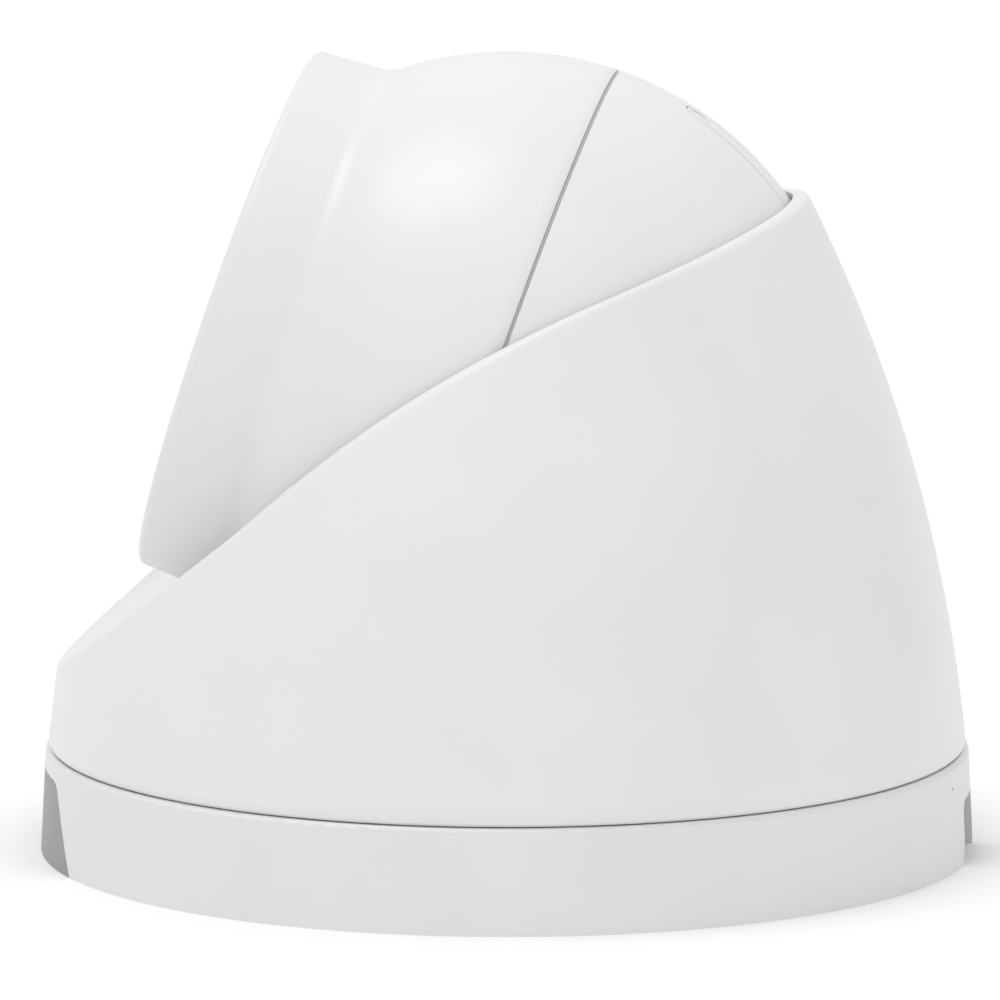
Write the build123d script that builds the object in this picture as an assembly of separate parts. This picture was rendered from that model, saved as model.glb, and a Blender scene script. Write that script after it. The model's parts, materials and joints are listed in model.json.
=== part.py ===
from build123d import *
from math import atan, degrees, sqrt
import os

# Turret security camera, in millimetres. The origin is the centre of the mounting face, +Z points away
# from the surface that the camera is fixed to, -Y is the side that the lens looks to, and X is the tilt
# axis. The head (everything in the ball) has a frame of its own: its origin is the ball's centre, +Z is
# the optical axis, +Y is the head's upper side and X is the camera's X.

# ---- driving dimensions ----------------------------------------------------------------------------
# base ring
BASE_R = 61.0                # outer radius at the foot
BASE_TOP_R = 60.3            # outer radius at the seam
BASE_H = 13.65
BASE_WALL_R = 58.4           # inner radius of the wall
BASE_EDGE = 0.6              # rounding of the upper edge
FLANGE_Z = (11.4, 13.4)      # inner flange that carries the turntable
PAN_BORE_R = 46.0
LUG = (5.4, 10.0, 2.0)       # lugs inside the wall that rest on the mounting plate
LUG_AT = 56.4
LOCK_Z = 6.0                 # height of the screw that locks the ring to the plate
LOCK_SCREW_R = 1.3
LOCK_BLOCK_X = 53.0          # middle of the plate's block that the lock screw enters
DRAIN_R = 0.25               # small drain hole beside the cable notch
DRAIN_Z = 10.8
DRAIN_ANGLE = 78.7

# conduit cover, flush in the front of the base ring
CONDUIT_FOOT = 28.7          # half width at the foot
CONDUIT_TOP = 21.6           # half width at the top
CONDUIT_H = 11.0
CONDUIT_CORNER = 3.0

# cable notch at the back of the base ring
NOTCH_W = 12.8
NOTCH_H = 8.2
NOTCH_CORNER = 2.0
NOTCH_FLARE = (1.3, 3.4)     # how much wider each side is at the foot, and how high the flare reaches

# mounting plate and its foam gasket
PLATE_R = 57.0
GASKET_H = 0.6
PLATE_H = 3.0
MOUNT_PCD = 84.0
MOUNT_HOLE_R = 2.4
MOUNT_HOLES = 3
CABLE_HOLE_R = 11.0
PLATE_NOTCH_W = 18.0

# pan bearing
SEAM = 0.45                  # open gap between the base ring and the shroud
GLIDE_H = 0.4
TURNTABLE_R = 57.5
TURNTABLE_IN_R = 41.0
TURNTABLE_H = 3.0
RUNNING = 0.05               # radial clearance of a running fit
RETAINER_Z = (9.0, 11.0)
RETAINER_R = 50.0
STOP_TAB_R = 54.6
STOP_TAB_W = 5.0
STOP_PIN_R = 1.5
STOP_PIN_AT = 52.3
RETAINER_SCREW_AT = 43.6
RETAINER_SCREW_R = 1.0
SHROUD_SCREW_AT = 54.0
SHROUD_SCREW_R = 1.4
SHROUD_SCREW_HEAD = (2.6, 1.5)
SHROUD_BOSS_R = 4.2
SHROUD_BOSS_TOP = 27.0

# shroud: its outer wall is one arc turned about Z, cut off along the rim line
SHROUD_ARC = 202.7           # radius of the arc
SHROUD_ARC_AT = (-141.8, -5.6)  # radius and height of the arc's centre
SHROUD_WALL = 2.0
SHROUD_TOP = 104.0
DECK = 2.8                   # height of the front deck's wall
RIM_KNEE = (-3.3, 70.3)      # y and z where the rim's two slopes meet
RIM_FRONT_SLOPE = 0.835
RIM_REAR_SLOPE = 0.385
RIM_KNEE_R = 130.0
RIM_EDGE = 1.6
DISH = (42.0, 26.5)          # the front deck's shallow dish: half its width, and half its length down the slope
DISH_DEPTH = 4.6
DISH_AT = 44.0               # how far down the slope from the knee the dish's centre is
BALL_GAP = 0.5               # between the ball and the opening it sits in
CAVITY_TOP = 66.0            # the straight-walled part of the cavity ends here
HOOD_GAP = 0.7

# ball and its gimbal
BALL_R = 44.8
BALL_Z = 59.5
LENS_ELEVATION = 18.5        # optical axis above the horizontal, at rest
SHELL_WALL = 2.2
HALF_SEAM = 0.225            # half of the gap between the two shells
PIVOT_PIN_R = 2.0
PIVOT_PIN_X = 48.5
PIVOT_BORE_X = 48.7
PIVOT_BOSS_R = 4.6
PIVOT_BOSS_X = 46.95
CRADLE_R = (45.1, 46.2)
CRADLE_W = 8.4
HUB_R = 9.0
HUB_Z = -48.0
BUSH_R = 8.0
SPIGOT_R = 7.0
SPIGOT_BORE_R = 4.5
SPIGOT_END = -50.0
THREAD_R = 6.0
NUT_R = 8.4
NUT_Z = -48.3

# hood and face
HOOD_Z = 38.2                # front edge of the hood
HOOD_FOOT = (35.9, 28.2)     # radius and height where the hood leaves the ball
HOOD_R = 35.3                # radius at the front edge
HOOD_DROP = 1.0              # the hood's outside is this far towards the head's lower side
HOOD_BORE_R = 32.4
HOOD_EDGE = (1.2, 0.4)       # rounding of the front edge, outside and inside
SHELF_Z = (31.8, 33.8)
SHELF_R = 30.0
WINDOW_R = 32.3
WINDOW_Z = (34.4, 36.4)
BEZEL_H = 0.9
BEZEL_IN_R = 31.0
MASK_Z = (31.9, 33.3)
MASK_R = 29.8
MASK_LENS_R = 9.3

# lens and sensor stack, heights along the optical axis
CHASSIS_Z = (1.0, 3.0)
CHASSIS_R = 39.0
SENSOR_BOARD_Z = (4.4, 6.0)
SENSOR_BOARD = 36.0
SENSOR_POST = 15.5           # sensor board post, from the axis both ways
STAGE = (26.0, 22.0)         # footprint of the filter housing and the lens mount
STAGE_Z = (6.0, 12.0)
SLOT = (22.6, 11.4)          # slot that the filter carriage slides in
SLOT_Z = (8.6, 10.6)
CARRIAGE = (16.0, 10.6, 1.2)
FILTER_TRAVEL = 6.0
FILTER = (5.2, 7.0, 0.6)
LENS_MOUNT_Z = (12.0, 19.0)
LENS_THREAD_R = 6.0
LENS_HEAD_R = 8.4
LENS_HEAD_Z = (24.0, 33.6)
LENS_FOOT_Z = 13.0
LENS_BORE_R = 4.0
FRONT_GLASS_R = 6.4
FRONT_GLASS_Z = 31.4
LED_BOARD_Z = (26.0, 27.6)
LED_BOARD_R = 28.5
LED_AT = 17.0
LED_R = 2.7
LED_HOLE_R = 4.6

# boards behind the chassis
MAIN_BOARD_Z = (-8.0, -6.4)
MAIN_BOARD_R = 28.5
MAIN_BOARD_TOP = 19.0        # the board is cut straight here, beside the card board
MAIN_POST = (20.0, 15.0)
HEAT_BOSS_Z = -4.0
CHIP = 14.0
CHIP_H = 1.6
LINK = (15.0, 4.0)           # board-to-board connector
LINK_Y = -14.0

# screws through both shells
SHELL_SCREW_AT = 33.0
SHELL_BOSS_R = 3.5
SHELL_SCREW_R = 1.25
SHELL_SCREW_Z = (-14.0, 10.0)

# access cover on the back of the ball, over the memory card and the reset button
COVER_POLAR = 61.0           # angle from the rear of the optical axis
COVER = (5.5, 25.0)          # width and length of the recess
COVER_GAP = 0.25
COVER_R = 43.5               # radius of the cover's inner face
COVER_SEAT_R = 43.1
COVER_PAD_R = 41.2
COVER_OPENING = (3.8, 16.5)
COVER_SCREW = 10.4
COVER_SCREW_R = 0.7
COVER_SCREW_SEAT = 42.7
COVER_FLOOR = 36.0           # cuts for the cover start below this height, inside the ball
CARD_BOARD_X = (-2.2, -1.0)
CARD_BOARD_Z = (22.0, 37.5)
CARD_W = 11.0
CARD_SLOT_Y = -2.3
BUTTON_Y = 5.9
BUTTON_R = 1.1
BUTTON_Z = (33.0, 36.5)

BOTTOM = (Align.CENTER, Align.CENTER, Align.MIN)
BIG = 200.0                  # longer than the whole camera, for cutting
HEAD = Pos(0, 0, BALL_Z) * Rot(90 - LENS_ELEVATION, 0, 0)
ACCESS = Rot(COVER_POLAR - 180, 0, 0)    # in the head's frame: +Z is out through the access cover

plate_top = GASKET_H + PLATE_H
shroud_z = BASE_H + SEAM
turntable_top = shroud_z + TURNTABLE_H
shroud_screw_seat = shroud_z + 1.9


# ---- helpers ---------------------------------------------------------------------------------------
def disc(radius, low, high):
    """A solid cylinder about Z between two heights."""
    return Pos(0, 0, low) * Cylinder(radius, high - low, align=BOTTOM)


def ring(outer, inner, low, high):
    """A cylinder about Z with a round hole right through it."""
    return disc(outer, low, high) - disc(inner, low - 1, high + 1)


def block(size_x, size_y, low, high):
    """A box centred on Z between two heights."""
    return Pos(0, 0, low) * Box(size_x, size_y, high - low, align=BOTTOM)


def around(piece, radius, count, start=0.0):
    """Copies of a piece, evenly spaced on a circle about Z."""
    return [Rot(0, 0, start + 360 * i / count) * Pos(radius, 0, 0) * piece for i in range(count)]


def corners(piece, x, y):
    """Four copies of a piece, at the corners of a rectangle."""
    return [Pos(side_x * x, side_y * y, 0) * piece for side_x in (-1, 1) for side_y in (-1, 1)]


def screw(shank_r, head_r, head_h, length):
    """A screw that points down, with its head on the plane z = 0 and a hexagon socket."""
    body = disc(head_r, 0, head_h) + disc(shank_r, -length, 0)
    socket = extrude(RegularPolygon(head_r * 0.5, 6), head_h * 0.6)
    return body - Pos(0, 0, head_h * 0.4) * socket


def cover_pill(width, length, inner_r=0.0):
    """An oblong in the access frame, from a sphere about the ball's centre outwards."""
    return pill(width, length, COVER_FLOOR, BALL_R + 5) - Sphere(max(inner_r, 1.0))


def up(piece, height):
    return Pos(0, 0, height) * piece


def turned_over(piece):
    return Rot(180, 0, 0) * piece


def pill(width, length, low, high):
    """An oblong with round ends, its length along Y, between two heights."""
    outline = Rot(0, 0, 90) * SlotOverall(length, width)
    return up(extrude(outline, high - low), low)


# ---- base ------------------------------------------------------------------------------------------
def conduit_outline(grow):
    """The conduit cover's front view, drawn in the XZ plane, larger all round by the given amount."""
    half_foot = CONDUIT_FOOT + grow
    half_top = CONDUIT_TOP + grow
    height = CONDUIT_H + grow
    outline = Polygon((-half_foot, 0), (half_foot, 0), (half_top, height), (-half_top, height), align=None)
    upper = outline.vertices().group_by(Axis.Y)[-1]
    return Plane.XZ * fillet(upper, CONDUIT_CORNER)


def notch_cutter():
    """The cable notch: an arch along Y that is open at the foot, and wider there."""
    half = NOTCH_W / 2
    flare, flare_h = NOTCH_FLARE
    right_side = [(half + flare, 0), (half, flare_h), (half, NOTCH_H)]
    left_side = [(-x, z) for x, z in reversed(right_side)]
    outline = Polygon(*right_side, *left_side, align=None)
    upper = outline.vertices().group_by(Axis.Y)[-1]
    return extrude(Plane.XZ * fillet(upper, NOTCH_CORNER), -BIG)


def base_wall(inner):
    """The base ring's outer wall, down to an inner radius."""
    outline = Polygon((inner, 0), (BASE_R, 0), (BASE_TOP_R, BASE_H), (inner, BASE_H), align=None)
    wall = revolve(Plane.XZ * outline, Axis.Z)
    top = wall.edges().filter_by(GeomType.CIRCLE).sort_by(SortBy.RADIUS).group_by(Axis.Z)[-1][-1]
    return fillet(top, BASE_EDGE)


def base_ring():
    body = base_wall(BASE_WALL_R) + ring(BASE_WALL_R + 1, PAN_BORE_R, *FLANGE_Z)
    lug = Pos(LUG_AT, 0, plate_top + 0.1) * Box(*LUG, align=BOTTOM)
    lug &= disc(BASE_WALL_R + 1, 0, BASE_H)
    for copy in around(lug, 0, 4, 45):
        body += copy
    body -= extrude(conduit_outline(0.1), BIG)
    body -= notch_cutter()
    body -= Rot(0, 0, DRAIN_ANGLE) * Pos(BASE_R, 0, DRAIN_Z) * Rot(0, 90, 0) * Cylinder(DRAIN_R, 12)
    lock_hole = Pos(-BASE_R, 0, LOCK_Z) * Rot(0, 90, 0) * Cylinder(LOCK_SCREW_R + 0.2, 12)
    return body - lock_hole


def conduit_cover():
    face = base_wall(BASE_WALL_R + 0.1) & extrude(conduit_outline(0), BIG)
    flange = ring(BASE_WALL_R - 0.1, BASE_WALL_R - 1.1, 0, FLANGE_Z[0] - 0.1)
    flange &= extrude(conduit_outline(2), BIG)
    bridge = ring(BASE_WALL_R + 1, BASE_WALL_R - 0.6, 0, CONDUIT_H - 1) & extrude(conduit_outline(-1), BIG)
    return face + flange + bridge


def mounting_holes(low, high):
    return around(disc(MOUNT_HOLE_R, low, high), MOUNT_PCD / 2, MOUNT_HOLES, 90 + 180 / MOUNT_HOLES)


def plate_outline(low, high):
    """The disc shared by the mounting plate and its gasket, with its cable hole, notch and screw holes."""
    body = ring(PLATE_R, CABLE_HOLE_R, low, high)
    body -= Pos(0, PLATE_R, 0) * block(PLATE_NOTCH_W, 26, low - 1, high + 1)
    for hole in mounting_holes(low - 1, high + 1):
        body -= hole
    return body


def mounting_plate():
    body = plate_outline(GASKET_H, plate_top)
    body += Pos(-LOCK_BLOCK_X, 0, 0) * block(6, 8, GASKET_H + 1, LOCK_Z + 2.2)
    lock_hole = Pos(-LOCK_BLOCK_X, 0, LOCK_Z) * Rot(0, 90, 0) * Cylinder(LOCK_SCREW_R, 8)
    return body - lock_hole


def mounting_gasket():
    return plate_outline(0, GASKET_H)


def lock_screw():
    shank = Pos(-BASE_R + 4.5, 0, LOCK_Z) * Rot(0, 90, 0) * Cylinder(LOCK_SCREW_R, 6.6)
    socket = Pos(-BASE_R + 1, 0, LOCK_Z) * Rot(0, 90, 0) * extrude(RegularPolygon(0.8, 6), 2)
    return shank - socket


def pan_stop_pin():
    return Pos(STOP_PIN_AT, 0, 0) * disc(STOP_PIN_R, 7.4, FLANGE_Z[0])


def glide_ring():
    return ring(56, 47.5, FLANGE_Z[1], FLANGE_Z[1] + GLIDE_H)


# ---- pan -------------------------------------------------------------------------------------------
def turntable():
    body = ring(TURNTABLE_R, TURNTABLE_IN_R, shroud_z, turntable_top)
    body += ring(PAN_BORE_R - RUNNING, TURNTABLE_IN_R, RETAINER_Z[1], shroud_z + 1)
    head_hole = disc(SHROUD_SCREW_HEAD[0] + 0.2, shroud_z - 1, shroud_screw_seat)
    for hole in around(head_hole, SHROUD_SCREW_AT, 4, 45):
        body -= hole
    for hole in around(disc(SHROUD_SCREW_R, shroud_z, turntable_top + 1), SHROUD_SCREW_AT, 4, 45):
        body -= hole
    for hole in around(disc(RETAINER_SCREW_R, 8, BASE_H), RETAINER_SCREW_AT, 4):
        body -= hole
    return body


def pan_retainer():
    body = ring(RETAINER_R, TURNTABLE_IN_R + 0.5, *RETAINER_Z)
    tab_length = STOP_TAB_R - RETAINER_R + 2
    tab = Box(tab_length, STOP_TAB_W, RETAINER_Z[1] - RETAINER_Z[0], align=BOTTOM)
    body += Pos(-STOP_TAB_R + tab_length / 2, 0, RETAINER_Z[0]) * tab
    for hole in around(disc(RETAINER_SCREW_R, 8, 11), RETAINER_SCREW_AT, 4):
        body -= hole
    return body


def retainer_screws():
    one = up(turned_over(screw(RETAINER_SCREW_R, 1.9, 1.2, 4.4)), RETAINER_Z[0])
    return around(one, RETAINER_SCREW_AT, 4)


def shroud_screws():
    one = up(turned_over(screw(SHROUD_SCREW_R, *SHROUD_SCREW_HEAD, 9)), shroud_screw_seat)
    return around(one, SHROUD_SCREW_AT, 4, 45)


def wall_radius(height, thickness=0.0):
    """Radius of the shroud's wall at a height, measured that far in from its outer face."""
    arc_r, arc_z = SHROUD_ARC_AT
    return arc_r + sqrt((SHROUD_ARC - thickness) ** 2 - (height - arc_z) ** 2)


def shroud_form(thickness, low, high):
    """The solid inside the shroud's arc, between two heights."""
    middle = (low + high) / 2
    foot = (wall_radius(low, thickness), low)
    top = (wall_radius(high, thickness), high)
    side = ThreePointArc(foot, (wall_radius(middle, thickness), middle), top)
    rest = Polyline(top, (0, high), (0, low), foot)
    return revolve(Plane.XZ * make_face([*side.edges(), *rest.edges()]), Axis.Z)


def above_rim(drop=0.0):
    """Everything above the rim line; drop lowers the line."""
    knee_y, knee_z = RIM_KNEE
    reach = 90.0
    knee = (knee_y, knee_z - drop)
    front = (knee_y - reach, knee[1] - reach * RIM_FRONT_SLOPE)
    rear = (knee_y + reach, knee[1] + reach * RIM_REAR_SLOPE)
    outline = Polygon(front, knee, rear, (knee_y + reach, BIG), (knee_y - reach, BIG), align=None)
    corner = outline.vertices().sort_by_distance((*knee, 0))[0]
    return extrude(Plane.YZ * fillet(corner, RIM_KNEE_R), BIG / 2, both=True)


def deck_dish(drop=0.0):
    """The ellipsoid that hollows the front deck under the hood; drop lowers it."""
    half_width, half_length = DISH
    radius = (half_length ** 2 + DISH_DEPTH ** 2) / (2 * DISH_DEPTH)
    bowl = scale(Sphere(radius), by=(half_width / half_length, 1, 1))
    slope = degrees(atan(RIM_FRONT_SLOPE))
    deck = Pos(0, RIM_KNEE[0], RIM_KNEE[1] - drop) * Rot(slope, 0, 0)
    return deck * Pos(0, -DISH_AT, radius - DISH_DEPTH) * bowl


def shroud():
    body = shroud_form(0, shroud_z, SHROUD_TOP) - above_rim()
    rim = [e for e in body.edges() if e.geom_type != GeomType.CIRCLE and e.bounding_box().size.Y > 1]
    body = fillet(rim, RIM_EDGE) - deck_dish()
    cavity = shroud_form(SHROUD_WALL, shroud_z - 1, CAVITY_TOP) - above_rim(DECK) - deck_dish(DECK)
    for boss in around(disc(SHROUD_BOSS_R, turntable_top, SHROUD_BOSS_TOP), SHROUD_SCREW_AT, 4, 45):
        cavity -= boss
    for side in (-1, 1):
        boss_x = side * (PIVOT_BOSS_X + 5)
        cavity -= Pos(boss_x, 0, BALL_Z) * Rot(0, 90, 0) * Cylinder(PIVOT_BOSS_R, 10)
    body -= cavity
    body -= Pos(0, 0, BALL_Z) * Sphere(BALL_R + BALL_GAP)
    body -= HEAD * disc(HOOD_FOOT[0] + HOOD_DROP + HOOD_GAP, HOOD_FOOT[1] - 6, HOOD_Z + 30)
    body -= Pos(0, 0, BALL_Z) * Rot(0, 90, 0) * Cylinder(PIVOT_PIN_R + RUNNING, 2 * PIVOT_BORE_X)
    screw_hole = disc(SHROUD_SCREW_R, turntable_top - 1, SHROUD_BOSS_TOP - 1.5)
    for hole in around(screw_hole, SHROUD_SCREW_AT, 4, 45):
        body -= hole
    return body


# ---- tilt ------------------------------------------------------------------------------------------
def tilt_cradle():
    shell = Sphere(CRADLE_R[1]) - Sphere(CRADLE_R[0])
    band = Pos(0, 0, -BIG / 2) * Box(BIG, CRADLE_W, BIG)
    poles = Rot(0, 90, 0) * Cylinder(CRADLE_W / 2, BIG)
    strap = shell & (band + poles)
    hub = disc(HUB_R, HUB_Z, HUB_Z + 8) - Sphere(CRADLE_R[0])
    pin_holes = Rot(0, 90, 0) * Cylinder(PIVOT_PIN_R, BIG)
    return strap + hub - disc(BUSH_R, HUB_Z - 1, HUB_Z + 10) - pin_holes


def tilt_pins():
    length = PIVOT_PIN_X - CRADLE_R[0]
    pin = Rot(0, 90, 0) * Cylinder(PIVOT_PIN_R, length)
    return [Pos(side * (CRADLE_R[0] + length / 2), 0, 0) * pin for side in (-1, 1)]


def tilt_washers():
    washer = Rot(0, 90, 0) * ring(4.0, PIVOT_PIN_R + RUNNING, -0.2, 0.2)
    return [Pos(side * (CRADLE_R[1] + 0.25), 0, 0) * washer for side in (-1, 1)]


def roll_bush():
    return ring(BUSH_R, SPIGOT_R + RUNNING, HUB_Z, HUB_Z + 8) - Sphere(CRADLE_R[0])


# ---- ball shells -----------------------------------------------------------------------------------
def shell_boss(low, high):
    return around(disc(SHELL_BOSS_R, low, high), SHELL_SCREW_AT, 4, 45)


def front_shell():
    foot_r, foot_z = HOOD_FOOT
    taper = (foot_r - HOOD_R) / (HOOD_Z - foot_z)
    start = 20.0
    hood = Cone(foot_r + taper * (foot_z - start), HOOD_R, HOOD_Z - start, align=BOTTOM)
    inside = Sphere(BALL_R - SHELL_WALL) & disc(BALL_R, -1, 27)
    inside += disc(HOOD_BORE_R, 20, SHELF_Z[0])
    for boss in shell_boss(CHASSIS_Z[1], 30):
        inside -= boss
    body = (Sphere(BALL_R) & disc(BALL_R, HALF_SEAM, 30)) + Pos(0, -HOOD_DROP, start) * hood - inside
    body -= disc(SHELF_R, 20, HOOD_Z)
    body -= disc(HOOD_BORE_R, SHELF_Z[1], HOOD_Z + 1)
    for hole in around(disc(SHELL_SCREW_R, 0, SHELL_SCREW_Z[1] + 1), SHELL_SCREW_AT, 4, 45):
        body -= hole
    outer_edge = body.edges().group_by(Axis.Z)[-1].sort_by(SortBy.RADIUS)[-1]
    body = fillet(outer_edge, HOOD_EDGE[0])
    inner_edge = body.edges().group_by(Axis.Z)[-1].sort_by(SortBy.RADIUS)[0]
    return fillet(inner_edge, HOOD_EDGE[1])


def rear_shell():
    inside = Sphere(BALL_R - SHELL_WALL)
    inside -= ACCESS * cover_pill(COVER[0] + 2.5, COVER[1] + 3, COVER_PAD_R)
    bosses = shell_boss(-40, -HALF_SEAM)
    for boss in bosses:
        inside -= boss
    body = (Sphere(BALL_R) & disc(BALL_R, -BALL_R - 1, -HALF_SEAM)) - inside
    for boss in shell_boss(-HALF_SEAM - 1, CHASSIS_Z[0]):
        body += boss
    body += ring(SPIGOT_R, SPIGOT_BORE_R, NUT_Z + 0.2, -BALL_R + 2)
    body += ring(THREAD_R, SPIGOT_BORE_R, SPIGOT_END, NUT_Z + 1)
    body -= disc(SPIGOT_BORE_R, SPIGOT_END - 1, -BALL_R + 5)
    body -= ACCESS * cover_pill(*COVER, COVER_SEAT_R)
    body -= ACCESS * cover_pill(*COVER_OPENING)
    for side in (-1, 1):
        body -= ACCESS * Pos(0, side * COVER_SCREW, 0) * disc(COVER_SCREW_R, COVER_FLOOR, BALL_R)
    for hole in around(disc(2.7, -BALL_R, SHELL_SCREW_Z[0]), SHELL_SCREW_AT, 4, 45):
        body -= hole
    for hole in around(disc(SHELL_SCREW_R + 0.15, -20, CHASSIS_Z[0] + 1), SHELL_SCREW_AT, 4, 45):
        body -= hole
    return body


def equator_seal():
    return ring(BALL_R - 0.9, BALL_R - SHELL_WALL + 0.1, -HALF_SEAM, HALF_SEAM)


def shell_screws():
    length = SHELL_SCREW_Z[1] - SHELL_SCREW_Z[0]
    one = up(turned_over(screw(SHELL_SCREW_R, 2.4, 1.8, length)), SHELL_SCREW_Z[0])
    return around(one, SHELL_SCREW_AT, 4, 45)


def roll_nut():
    body = ring(NUT_R, THREAD_R, SPIGOT_END, NUT_Z)
    for slot in around(block(3, 1.6, SPIGOT_END - 1, SPIGOT_END + 0.7), NUT_R, 6):
        body -= slot
    return body


def cable_gland():
    flange_z = -BALL_R + 2.8
    return ring(SPIGOT_BORE_R, 3.0, SPIGOT_END, flange_z + 1) + ring(6.0, 3.0, flange_z, flange_z + 1.4)


# ---- access cover, card socket and reset button ----------------------------------------------------
def access_cover():
    body = cover_pill(COVER[0] - 2 * COVER_GAP, COVER[1] - 2 * COVER_GAP, COVER_R) & Sphere(BALL_R)
    for side in (-1, 1):
        body -= Pos(0, side * COVER_SCREW, 0) * disc(COVER_SCREW_R + 0.05, COVER_FLOOR, BALL_R)
        body -= Pos(0, side * COVER_SCREW, 0) * disc(1.35, COVER_SCREW_SEAT, BALL_R)
    return ACCESS * body


def access_gasket():
    body = cover_pill(COVER[0] - 0.7, COVER[1] - 0.7, COVER_SEAT_R) & Sphere(COVER_R)
    body -= cover_pill(*COVER_OPENING)
    for side in (-1, 1):
        body -= Pos(0, side * COVER_SCREW, 0) * disc(COVER_SCREW_R + 0.05, COVER_FLOOR, BALL_R)
    return ACCESS * body


def access_screws():
    one = up(screw(COVER_SCREW_R, 1.2, 0.5, 2.2), COVER_SCREW_SEAT)
    return [ACCESS * Pos(0, side * COVER_SCREW, 0) * one for side in (-1, 1)]


def card_board():
    low_x, high_x = CARD_BOARD_X
    body = Pos((low_x + high_x) / 2, 0, 0) * block(high_x - low_x, 18, *CARD_BOARD_Z)
    return ACCESS * body


def card_socket():
    thick = 2.0
    centre_x = CARD_BOARD_X[1] + thick / 2
    body = block(thick, CARD_W + 1, 24, 37.2) - block(0.9, CARD_W + 0.3, 25, 38)
    return ACCESS * Pos(centre_x, CARD_SLOT_Y, 0) * body


def reset_switch():
    body = Pos(0.4, BUTTON_Y, 0) * block(2.8, 3.4, 31.3, 34.5)
    body -= Pos(0.4, BUTTON_Y, 0) * disc(BUTTON_R + RUNNING, BUTTON_Z[0] - 0.7, 35)
    return ACCESS * body


def reset_button():
    cap = fillet(disc(BUTTON_R, *BUTTON_Z).edges().group_by(Axis.Z)[-1], 0.3)
    return ACCESS * Pos(0.4, BUTTON_Y, 0) * cap


# ---- face ------------------------------------------------------------------------------------------
def window_gasket():
    return ring(WINDOW_R, SHELF_R + 0.4, SHELF_Z[1], WINDOW_Z[0])


def front_window():
    return disc(WINDOW_R, *WINDOW_Z)


def window_bezel():
    return ring(WINDOW_R, BEZEL_IN_R, WINDOW_Z[1], WINDOW_Z[1] + BEZEL_H)


def face_mask():
    body = ring(MASK_R, MASK_LENS_R, *MASK_Z)
    for side in (-1, 1):
        body -= Pos(side * LED_AT, 0, 0) * disc(LED_HOLE_R, MASK_Z[0] - 1, MASK_Z[1] + 1)
    body -= Pos(0, -LED_AT, 0) * disc(1.6, MASK_Z[0] - 1, MASK_Z[1] + 1)
    return body


def lens_isolator():
    return ring(10.6, LENS_HEAD_R + 0.4, MASK_Z[1], WINDOW_Z[0])


def led_board():
    return ring(LED_BOARD_R, LENS_HEAD_R + 0.8, *LED_BOARD_Z)


def ir_leds():
    low = LED_BOARD_Z[1]
    lamp = disc(LED_R, low, low + 1.6) + (up(Sphere(LED_R), low + 1.2) & disc(LED_R, low + 1, low + 6))
    return [Pos(side * LED_AT, 0, 0) * lamp for side in (-1, 1)]


def light_sensor():
    return Pos(0, -LED_AT, 0) * disc(1.4, LED_BOARD_Z[1], LED_BOARD_Z[1] + 1.5)


def microphone():
    return Pos(13, -16, 0) * disc(2.0, LED_BOARD_Z[1], LED_BOARD_Z[1] + 1.8)


def standoffs():
    """Posts on the chassis: long ones to the lamp board, short ones to the sensor and main boards."""
    lamp = around(disc(2.0, CHASSIS_Z[1], LED_BOARD_Z[0]), 25.5, 3, 90)
    sensor = corners(ring(2.0, 1.0, CHASSIS_Z[1], SENSOR_BOARD_Z[0]), SENSOR_POST, SENSOR_POST)
    main = disc(2.2, MAIN_BOARD_Z[1], CHASSIS_Z[0]) - disc(1.0, MAIN_BOARD_Z[1] - 1, -2.5)
    return [*lamp, *sensor, *corners(main, *MAIN_POST)]


# ---- lens, filter and sensor -----------------------------------------------------------------------
def lens_barrel():
    body = disc(LENS_THREAD_R, LENS_FOOT_Z, LENS_HEAD_Z[0]) + disc(LENS_HEAD_R, *LENS_HEAD_Z)
    body -= disc(LENS_BORE_R, LENS_FOOT_Z - 1, FRONT_GLASS_Z + 1)
    return body - disc(FRONT_GLASS_R, FRONT_GLASS_Z, LENS_HEAD_Z[1] + 1)


def front_element():
    dome_r = 14.0
    dome = up(Sphere(dome_r), LENS_HEAD_Z[1] - dome_r)
    return disc(FRONT_GLASS_R, FRONT_GLASS_Z, LENS_HEAD_Z[1]) & dome


def rear_element():
    return disc(LENS_BORE_R, LENS_FOOT_Z + 0.6, LENS_FOOT_Z + 3)


def lens_lock_ring():
    body = ring(LENS_HEAD_R, LENS_THREAD_R, LENS_MOUNT_Z[1] + 0.2, LENS_MOUNT_Z[1] + 2.2)
    for slot in around(block(1.6, 1.6, 0, BIG), LENS_HEAD_R, 8):
        body -= slot
    return body


def lens_mount():
    low, high = LENS_MOUNT_Z
    return disc(9, low, high) + block(*STAGE, low, low + 1.5) - disc(LENS_THREAD_R, low - 1, high + 1)


def filter_housing():
    body = block(*STAGE, *STAGE_Z)
    body -= block(14, SLOT[1], STAGE_Z[0] - 1, SLOT_Z[0] + 0.1)
    body -= block(*SLOT, *SLOT_Z)
    return body - disc(2.6, SLOT_Z[0], STAGE_Z[1] + 1)


def filter_motor():
    body = block(10, 6, STAGE_Z[0], STAGE_Z[0] + 5)
    return Pos(0, STAGE[1] / 2 + 3.1, 0) * body


def filter_windows(size_x, size_y, low, high):
    """The carriage's two windows: one is over the sensor at rest, the other after the travel."""
    return [Pos(x, 0, 0) * block(size_x, size_y, low, high) for x in (0, -FILTER_TRAVEL)]


def filter_carriage():
    size_x, size_y, height = CARRIAGE
    low = SLOT_Z[0] + (SLOT_Z[1] - SLOT_Z[0] - height) / 2
    body = Pos(-FILTER_TRAVEL / 2, 0, 0) * block(size_x, size_y, low, low + height)
    for window in filter_windows(FILTER[0], FILTER[1], low - 1, low + height + 1):
        body -= window
    return body


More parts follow.
